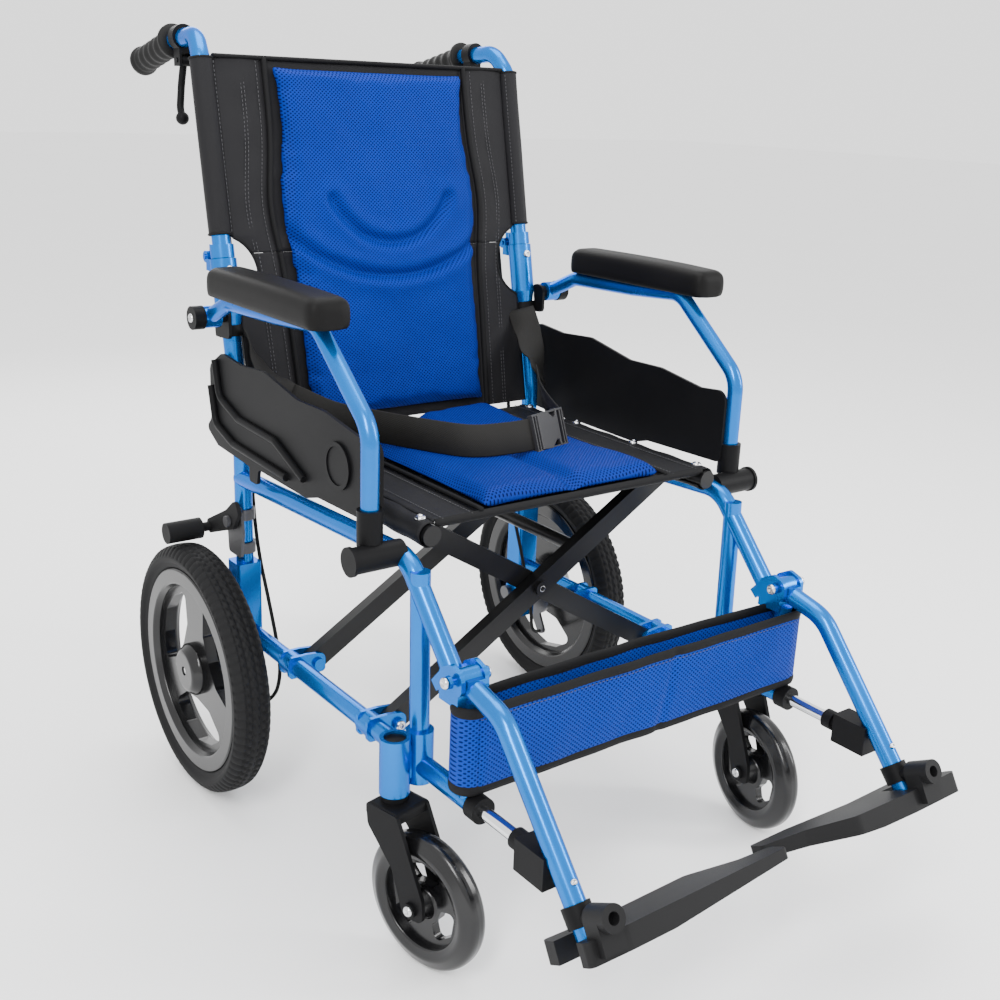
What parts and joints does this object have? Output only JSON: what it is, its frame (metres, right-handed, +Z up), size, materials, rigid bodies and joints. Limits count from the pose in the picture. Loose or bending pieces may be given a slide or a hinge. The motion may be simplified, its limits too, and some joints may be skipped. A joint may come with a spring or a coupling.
{
  "type": "transport wheelchair",
  "caption": "Folding attendant-pushed transport wheelchair: tubular side frames on a cross brace, sling seat and back, flip-up armrests, swivel casters, mag rear wheels and footplates.",
  "frame": {"origin": "on the floor under the middle of the chair's overall box", "axes": "+X to the user's left, +Y to the back of the chair, +Z up; the user faces -Y"},
  "size_m": [0.618, 1.0227, 0.9456],
  "materials": {
    "frame_paint": "metallic paint",
    "brace_paint": "satin paint",
    "black_plastic": "moulded",
    "pad_foam": "skinned foam",
    "tyre_rubber": "matte",
    "wheel_plastic": "gloss",
    "chrome": "polished",
    "zinc": "zinc plated",
    "black_steel": "black coated",
    "cable": "sheathed",
    "blue_mesh": "spacer mesh",
    "black_webbing": "woven"
  },
  "bodies": {
    "frame_R": {"frame_R": "frame_paint", "rear_axle_R": "zinc", "brace_bracket_R": "frame_paint", "arm_latch_R": "black_plastic", "arm_pivot_R": "black_plastic", "brake_bracket_R": "black_steel", "brake_cable_lower_R": "cable", "strut_collar_R": "black_plastic", "back_panel_lower": "blue_mesh", "calf_strap": "blue_mesh"},
    "frame_L": {"frame_L": "frame_paint", "rear_axle_L": "zinc", "brace_bracket_L": "frame_paint", "arm_latch_L": "black_plastic", "arm_pivot_L": "black_plastic", "brake_bracket_L": "black_steel", "brake_cable_lower_L": "cable", "strut_collar_L": "black_plastic"},
    "brace_a": {"brace_to_left_rail": "brace_paint"},
    "brace_b": {"brace_to_right_rail": "brace_paint"},
    "seat": {"seat_cushion": "blue_mesh", "lap_belt": "black_webbing"},
    "buckle": {"belt_buckle": "black_plastic"},
    "back_upper_R": {"back_tube_R": "frame_paint", "grip_R": "tyre_rubber", "lever_clamp_R": "black_plastic", "brake_cable_upper_R": "cable", "back_panel_upper": "blue_mesh"},
    "lever_R": {"hand_lever_R": "black_plastic"},
    "armrest_R": {"arm_tube_R": "frame_paint", "arm_foot_R": "black_plastic", "arm_pad_R": "pad_foam", "side_panel_R": "black_plastic"},
    "wheel_R": {"rear_rim_R": "wheel_plastic", "rear_tyre_R": "tyre_rubber"},
    "fork_R": {"caster_fork_R": "black_steel"},
    "caster_R": {"caster_wheel_R": "wheel_plastic"},
    "park_brake_R": {"brake_shoe_R": "black_steel"},
    "leg_R": {"hanger_R": "frame_paint", "foot_clamp_R": "black_plastic"},
    "strut_R": {"strut_rod_R": "chrome"},
    "foot_R": {"footplate_R": "black_plastic"},
    "back_upper_L": {"back_tube_L": "frame_paint", "grip_L": "tyre_rubber", "lever_clamp_L": "black_plastic", "brake_cable_upper_L": "cable"},
    "lever_L": {"hand_lever_L": "black_plastic"},
    "armrest_L": {"arm_tube_L": "frame_paint", "arm_foot_L": "black_plastic", "arm_pad_L": "pad_foam", "side_panel_L": "black_plastic"},
    "wheel_L": {"rear_rim_L": "wheel_plastic", "rear_tyre_L": "tyre_rubber"},
    "fork_L": {"caster_fork_L": "black_steel"},
    "caster_L": {"caster_wheel_L": "wheel_plastic"},
    "park_brake_L": {"brake_shoe_L": "black_steel"},
    "leg_L": {"hanger_L": "frame_paint", "foot_clamp_L": "black_plastic"},
    "strut_L": {"strut_rod_L": "chrome"},
    "foot_L": {"footplate_L": "black_plastic"}
  },
  "joints": [
    {"name": "frame_fold", "type": "hinge", "parent": "frame_R", "child": "brace_a", "pos_m": [-0.198, -0.002, 0.206], "axis": [0, -1, 0], "range_deg": [0, 43.78], "deforming": ["seat_cushion", "lap_belt", "back_panel_upper", "back_panel_lower", "calf_strap"]},
    {"name": "brace_cross", "type": "hinge", "parent": "brace_a", "child": "brace_b", "pos_m": [0, -0.002, 0.326], "axis": [0, -1, 0], "range_deg": [-87.56, 0]},
    {"name": "left_frame_pivot", "type": "hinge", "parent": "brace_b", "child": "frame_L", "pos_m": [0.198, -0.002, 0.206], "axis": [0, -1, 0], "range_deg": [0, 43.78]},
    {"name": "seat_level", "type": "hinge", "parent": "brace_b", "child": "seat", "pos_m": [-0.198, -0.002, 0.446], "axis": [0, -1, 0], "range_deg": [0, 43.78]},
    {"name": "buckle_shift", "type": "slide", "parent": "seat", "child": "buckle", "axis": [-1, 0, 0], "range_m": [0, 0.178]},
    {"name": "back_fold_R", "type": "hinge", "parent": "frame_R", "child": "back_upper_R", "pos_m": [-0.225, 0.282, 0.676], "axis": [-1, 0, 0], "range_deg": [0, 100]},
    {"name": "hand_lever_R", "type": "hinge", "parent": "back_upper_R", "child": "lever_R", "pos_m": [-0.216, 0.374, 0.902], "axis": [1, 0, 0], "range_deg": [0, 50], "stiffness_Nm_per_rad": 0.6},
    {"name": "armrest_R", "type": "hinge", "parent": "frame_R", "child": "armrest_R", "pos_m": [-0.258, 0.226, 0.613], "axis": [1, 0, 0], "range_deg": [-92, 0]},
    {"name": "rear_wheel_R", "type": "hinge", "parent": "frame_R", "child": "wheel_R", "pos_m": [-0.285, 0.229, 0.1617], "axis": [1, 0, 0], "continuous": true},
    {"name": "caster_swivel_R", "type": "hinge", "parent": "frame_R", "child": "fork_R", "pos_m": [-0.257, -0.193, 0.2], "axis": [0, 0, 1], "continuous": true},
    {"name": "caster_wheel_R", "type": "hinge", "parent": "fork_R", "child": "caster_R", "pos_m": [-0.24609, -0.2418, 0.076], "axis": [0.9759, 0.2181, 0], "continuous": true},
    {"name": "park_brake_R", "type": "hinge", "parent": "frame_R", "child": "park_brake_R", "pos_m": [-0.247, 0.209, 0.36], "axis": [-1, 0, 0], "range_deg": [-25, 2.2]},
    {"name": "leg_rest_R", "type": "hinge", "parent": "frame_R", "child": "leg_R", "pos_m": [-0.228, -0.276, 0.341], "axis": [-1, 0, 0], "range_deg": [0, 60]},
    {"name": "strut_R", "type": "slide", "parent": "frame_R", "child": "strut_R", "axis": [0, 1, 0], "range_m": [0, 0.035]},
    {"name": "footplate_R", "type": "hinge", "parent": "leg_R", "child": "foot_R", "pos_m": [-0.228, -0.45944, 0.18021], "axis": [0, -0.866, 0.5], "range_deg": [0, 88]},
    {"name": "back_fold_L", "type": "hinge", "parent": "frame_L", "child": "back_upper_L", "pos_m": [0.225, 0.282, 0.676], "axis": [-1, 0, 0], "range_deg": [0, 100]},
    {"name": "hand_lever_L", "type": "hinge", "parent": "back_upper_L", "child": "lever_L", "pos_m": [0.216, 0.374, 0.902], "axis": [1, 0, 0], "range_deg": [0, 50], "stiffness_Nm_per_rad": 0.6},
    {"name": "armrest_L", "type": "hinge", "parent": "frame_L", "child": "armrest_L", "pos_m": [0.258, 0.226, 0.613], "axis": [1, 0, 0], "range_deg": [-92, 0]},
    {"name": "rear_wheel_L", "type": "hinge", "parent": "frame_L", "child": "wheel_L", "pos_m": [0.285, 0.229, 0.1617], "axis": [1, 0, 0], "continuous": true},
    {"name": "caster_swivel_L", "type": "hinge", "parent": "frame_L", "child": "fork_L", "pos_m": [0.257, -0.193, 0.2], "axis": [0, 0, 1], "continuous": true},
    {"name": "caster_wheel_L", "type": "hinge", "parent": "fork_L", "child": "caster_L", "pos_m": [0.24935, -0.24241, 0.076], "axis": [0.9882, -0.153, 0], "continuous": true},
    {"name": "park_brake_L", "type": "hinge", "parent": "frame_L", "child": "park_brake_L", "pos_m": [0.247, 0.209, 0.36], "axis": [-1, 0, 0], "range_deg": [-25, 2.2]},
    {"name": "leg_rest_L", "type": "hinge", "parent": "frame_L", "child": "leg_L", "pos_m": [0.228, -0.276, 0.341], "axis": [-1, 0, 0], "range_deg": [0, 60]},
    {"name": "strut_L", "type": "slide", "parent": "frame_L", "child": "strut_L", "axis": [0, 1, 0], "range_m": [0, 0.035]},
    {"name": "footplate_L", "type": "hinge", "parent": "leg_L", "child": "foot_L", "pos_m": [0.228, -0.45944, 0.18021], "axis": [0, -0.866, 0.5], "range_deg": [-88, 0]}
  ],
  "couplings": [
    {"joint": "brace_cross", "follows": "frame_fold", "ratio": -2},
    {"joint": "left_frame_pivot", "follows": "frame_fold", "ratio": 1},
    {"joint": "seat_level", "follows": "frame_fold", "ratio": 1},
    {"joint": "buckle_shift", "follows": "frame_fold", "m_per_rad": 0.2317},
    {"joint": "footplate_R", "follows": "frame_fold", "ratio": 2.01},
    {"joint": "footplate_L", "follows": "frame_fold", "ratio": -2.01},
    {"joint": "back_fold_L", "follows": "back_fold_R", "ratio": 1}
  ]
}
